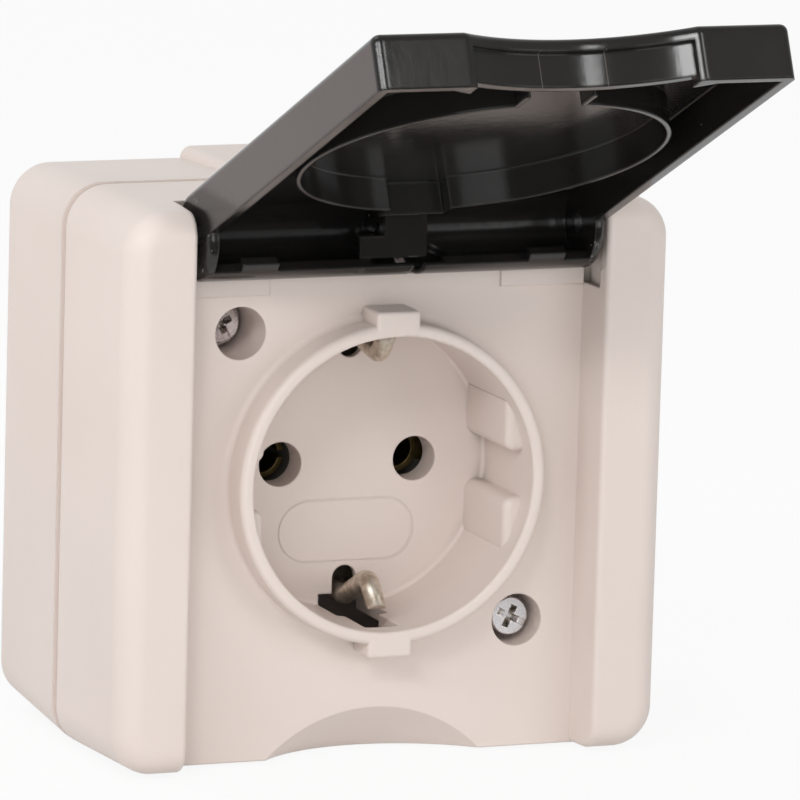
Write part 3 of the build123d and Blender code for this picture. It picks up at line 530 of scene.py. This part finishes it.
def makeCoverScrews(look):
    low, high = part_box("cover_screws")
    out = high.x - look["cadRadius"]
    length = high.y - low.y - look["proud"]
    both = bmesh.new()
    places = ((-out, low.y + look["proud"], out), (out, low.y, -out))
    for place, turn in zip(places, look["slotTurns"]):
        bm = makeScrew(look, length)
        bmesh.ops.rotate(bm, verts=bm.verts, matrix=Matrix.Rotation(math.radians(turn), 3, "Z"))
        bmesh.ops.rotate(bm, verts=bm.verts, matrix=Matrix.Rotation(math.radians(90), 3, "X"))
        bmesh.ops.translate(bm, verts=bm.verts, vec=place)
        joinInto(both, bm)
    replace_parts(addPiece("coverScrewsCut", both, "housing", "zinc_steel"), "cover_screws")


earthClipLook = {
    "radius": 0.0013,
    "bend": 0.0017,
    "segments": 32,
    "bendSteps": 10,
    "strapX": 0.004,
    "strapZ": 0.019,
    "strapFrom": 0.0226,   # depths in front of the wall
    "strapTo": 0.0240,
    "endCut": 0.9,         # the lower end's cut, in bar radii above its lowest point
    "root": (0.0233, 0.018),
    "lower": ((0.0300, 0.018), (0.0384, 0.0140), (0.0418, 0.0177)),
    "upper": ((0.0300, 0.018), (0.0402, 0.0163), (0.0436, 0.0206)),
}


def bendBar(look, points):
    # a round bar bent along points of depth and height, by straight runs and turns about X
    bm = bmesh.new()
    stops = [Vector((0, -depth, height)) for depth, height in points]
    bmesh.ops.create_circle(bm, cap_ends=True, segments=look["segments"], radius=look["radius"])
    bmesh.ops.rotate(bm, verts=bm.verts, matrix=Matrix.Rotation(math.radians(90), 3, "X"))
    bmesh.ops.translate(bm, verts=bm.verts, vec=stops[0])
    end, place = bm.faces[:], stops[0]
    ways = [(after - before).normalized() for before, after in zip(stops, stops[1:])]
    for number, way in enumerate(ways):
        last = number == len(ways) - 1
        angle = 0.0 if last else way.angle(ways[number + 1])
        run = (stops[number + 1] - place).length - look["bend"] * math.tan(angle / 2)
        grown = bmesh.ops.extrude_face_region(bm, geom=withEdges(end))
        bmesh.ops.translate(bm, vec=way * run, verts=newVerts(grown))
        end = [item for item in grown["geom"] if isinstance(item, bmesh.types.BMFace)]
        place = place + way * run
        if not last:
            axis = way.cross(ways[number + 1]).normalized()
            centre = place + axis.cross(way) * look["bend"]
            grown = bmesh.ops.spin(bm, geom=withEdges(end), cent=centre, axis=axis, angle=angle,
                                   steps=look["bendSteps"])
            end = [item for item in grown["geom_last"] if isinstance(item, bmesh.types.BMFace)]
            place = centre + Matrix.Rotation(angle, 3, axis) @ (place - centre)
    return bm, end


def makeEarthClips(look):
    whole = bmesh.new()
    bmesh.ops.create_cube(whole, size=2.0)
    thick = (look["strapTo"] - look["strapFrom"]) / 2
    bmesh.ops.scale(whole, verts=whole.verts, vec=(look["strapX"], thick, look["strapZ"]))
    bmesh.ops.translate(whole, verts=whole.verts, vec=(0, -look["strapFrom"] - thick, 0))
    for side, key in ((-1, "lower"), (1, "upper")):
        points = [(depth, side * height) for depth, height in (look["root"], *look[key])]
        bm, end = bendBar(look, points)
        if key == "lower":  # its end is sheared off level
            tip = min(v.co.z for face in end for v in face.verts)
            level = Vector((0, 0, tip + look["radius"] * look["endCut"]))
            faces = [f for f in bm.faces if f.calc_center_median().y < -look[key][1][0]]
            geom = withEdges(faces) + list(dict.fromkeys(v for f in faces for v in f.verts))
            bmesh.ops.bisect_plane(bm, geom=geom, plane_co=level, plane_no=(0, 0, -1), clear_outer=True)
            fillHoles(bm)
        joinInto(whole, bm)
    piece = addPiece("earthStrapBent", whole, "housing", "nickel_plate")
    for face in piece.data.polygons:
        face.use_smooth = len(face.vertices) == 4
    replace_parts(piece, "earth_strap")


makeCoverScrews(coverScrewLook)
makeEarthClips(earthClipLook)
print("screws and earth clips ready")


# Stage: a pale floor that stays nearly white to the camera and keeps a soft shadow

stageLook = {
    "floorSize": 4.0,
    "floor": (0.86, 0.86, 0.86),
    "dull": {"Roughness": 0.9, "Specular IOR Level": 0.0},
    "whiteShare": 0.90,   # how white the floor is to the camera and through glass
    "mirrorShare": 0.60,  # mirror rays see more of the floor's own shading
    "ambient": 0.51,
    "mirrorSky": (0.30, 1.0),  # and a sky that is dim in front and white behind
    "flag": (0.08, 0.075, 0.07),
    "flagX": (-0.9, 1.0),
    "flagY": (-1.8, -0.13),
    "flagLift": 0.001,
    "card": (1.0, 0.89, 0.87),
    "cardGlow": 1.0,
    "cardX": (-0.8, -0.06),
    "cardY": (0.10, 1.4),
}


def addStagePlane(name, xRange, yRange, height):
    mesh = bpy.data.meshes.new(name)
    bm = bmesh.new()
    bmesh.ops.create_grid(bm, x_segments=1, y_segments=1, size=0.5)
    bmesh.ops.scale(bm, verts=bm.verts, vec=(xRange[1] - xRange[0], yRange[1] - yRange[0], 1.0))
    bmesh.ops.translate(bm, verts=bm.verts, vec=(sum(xRange) / 2, sum(yRange) / 2, height))
    bm.to_mesh(mesh)
    bm.free()
    plane = bpy.data.objects.new(name, mesh)
    bpy.context.scene.collection.objects.link(plane)
    return plane


def straightRays(tree, path):
    return mathNode(tree, "MAXIMUM", path.outputs["Is Camera Ray"], path.outputs["Is Transmission Ray"])


def makeFloor(look):
    half = look["floorSize"] / 2
    floor = addStagePlane("floor", (-half, half), (-half, half), cadBox[0].z)
    material, tree, shader = startMaterial("paleFloor")
    setInputs(shader, **{"Base Color": (*look["floor"], 1.0)}, **look["dull"])
    path = addNode(tree, "ShaderNodeLightPath")
    white = mathNode(tree, "MULTIPLY", straightRays(tree, path), look["whiteShare"])
    mirrored = mathNode(tree, "MULTIPLY", path.outputs["Is Glossy Ray"], look["mirrorShare"])
    glow = addNode(tree, "ShaderNodeEmission")
    mix = addNode(tree, "ShaderNodeMixShader")
    tree.links.new(mathNode(tree, "MAXIMUM", white, mirrored), mix.inputs[0])
    tree.links.new(shader.outputs[0], mix.inputs[1])
    tree.links.new(glow.outputs[0], mix.inputs[2])
    tree.links.new(mix.outputs[0], tree.nodes["Material Output"].inputs["Surface"])
    floor.data.materials.append(material)


def addMirrorCard(name, xRange, yRange, look):
    # a card on the floor that only mirror rays see
    card = addStagePlane(name, xRange, yRange, cadBox[0].z + look["flagLift"])
    for ray in ("camera", "diffuse", "transmission", "volume_scatter", "shadow"):
        setattr(card, "visible_" + ray, False)
    material, tree, shader = startMaterial(name)
    setInputs(shader, **{"Base Color": (*look["flag"], 1.0)}, **look["dull"])
    card.data.materials.append(material)
    return shader


def makeCards(look):
    # the dark one in front keeps the black lid black, the pale one behind lights its left wall
    addMirrorCard("frontFlag", look["flagX"], look["flagY"], look)
    pale = addMirrorCard("backCard", look["cardX"], look["cardY"], look)
    setInputs(pale, **{"Emission Color": (*look["card"], 1.0), "Emission Strength": look["cardGlow"]})


def makeWorld(look):
    world = bpy.data.worlds.new("studio")
    bpy.context.scene.world = world
    world.use_nodes = True
    tree = world.node_tree
    background = tree.nodes["Background"]
    background.inputs["Color"].default_value = (1.0, 1.0, 1.0, 1.0)
    path = addNode(tree, "ShaderNodeLightPath")
    axes = addNode(tree, "ShaderNodeSeparateXYZ")
    tree.links.new(addNode(tree, "ShaderNodeTexCoord").outputs["Generated"], axes.inputs[0])
    sky = rangeNode(tree, axes.outputs["Y"], *look["mirrorSky"])
    glossy = path.outputs["Is Glossy Ray"]
    mirrored = mathNode(tree, "MULTIPLY", glossy, sky)
    soft = mathNode(tree, "MULTIPLY", mathNode(tree, "SUBTRACT", 1.0, glossy), look["ambient"])
    lit = mathNode(tree, "MAXIMUM", mathNode(tree, "MAXIMUM", straightRays(tree, path), mirrored), soft)
    tree.links.new(lit, background.inputs["Strength"])


def makeLamp(name, look):
    lamp = bpy.data.lights.new(name, "AREA")
    lamp.energy = look["power"]
    lamp.shape = "RECTANGLE"
    lamp.size, lamp.size_y = look["size"]
    holder = bpy.data.objects.new(name, lamp)
    bpy.context.scene.collection.objects.link(holder)
    holder.location = look["place"]
    aim = Vector(lampTarget) - Vector(look["place"])
    roll = Quaternion((0, 0, 1), math.radians(look.get("roll", 0.0)))
    holder.rotation_euler = (aim.to_track_quat("-Z", "Y") @ roll).to_euler()


lamps = {
    "keyLamp": {"place": (-0.62, -0.95, 0.76), "size": (0.25, 0.25), "power": 2.9},
    "frontLamp": {"place": (0.30, -1.02, 0.79), "size": (0.16, 0.16), "power": 0.7},
    "lowFill": {"place": (-0.40, -1.20, 0.03), "size": (0.60, 0.60), "power": 3.4},
    "rightFill": {"place": (0.75, -1.00, 0.12), "size": (0.60, 0.60), "power": 2.3},
    "leftStrip": {"place": (-0.94, -0.57, 0.57), "size": (0.70, 0.10), "power": 2.8, "roll": 19.0},
    "topFill": {"place": (-0.45, 0.25, 0.95), "size": (0.60, 0.60), "power": 1.8},
}
lampTarget = (0, -0.05, 0)

makeFloor(stageLook)
makeCards(stageLook)
makeWorld(stageLook)
for lampName, lampLook in lamps.items():
    makeLamp(lampName, lampLook)
print("stage and lamps ready")


# Camera at the photograph's angle, aimed a little above the plug well's rim

cameraLook = {
    "azimuth": -21.98,
    "elevation": 11.01,
    "roll": 1.62,
    "distance": 1.04777,
    "lens": 361.65,
    "sensor": 36.0,
    "clipEnd": 20.0,
    "rim": (0, -0.047, 0),
    "aimRight": 0.00064,
    "aimUp": 0.01117,
}


def makeCamera(look):
    turn, lift, roll = (math.radians(look[k]) for k in ("azimuth", "elevation", "roll"))
    back = Vector((math.sin(turn) * math.cos(lift), -math.cos(turn) * math.cos(lift), math.sin(lift)))
    level = Vector((math.cos(turn), math.sin(turn), 0))
    upright = back.cross(level)
    right = level * math.cos(roll) + upright * math.sin(roll)
    up = upright * math.cos(roll) - level * math.sin(roll)
    place = Vector(look["rim"]) + back * look["distance"]
    aim = Vector(look["rim"]) + right * look["aimRight"] + up * look["aimUp"]
    data = bpy.data.cameras.new("camera")
    data.sensor_width = look["sensor"]
    data.lens = look["lens"]
    data.clip_end = look["clipEnd"]
    camera = bpy.data.objects.new("camera", data)
    bpy.context.scene.collection.objects.link(camera)
    zAxis = (place - aim).normalized()
    xAxis = up.cross(zAxis).normalized()
    yAxis = zAxis.cross(xAxis)
    for row in range(3):
        camera.matrix_world[row] = (xAxis[row], yAxis[row], zAxis[row], place[row])
    bpy.context.scene.camera = camera


makeCamera(cameraLook)
bpy.context.scene.view_settings.view_transform = "Standard"
print("camera ready")
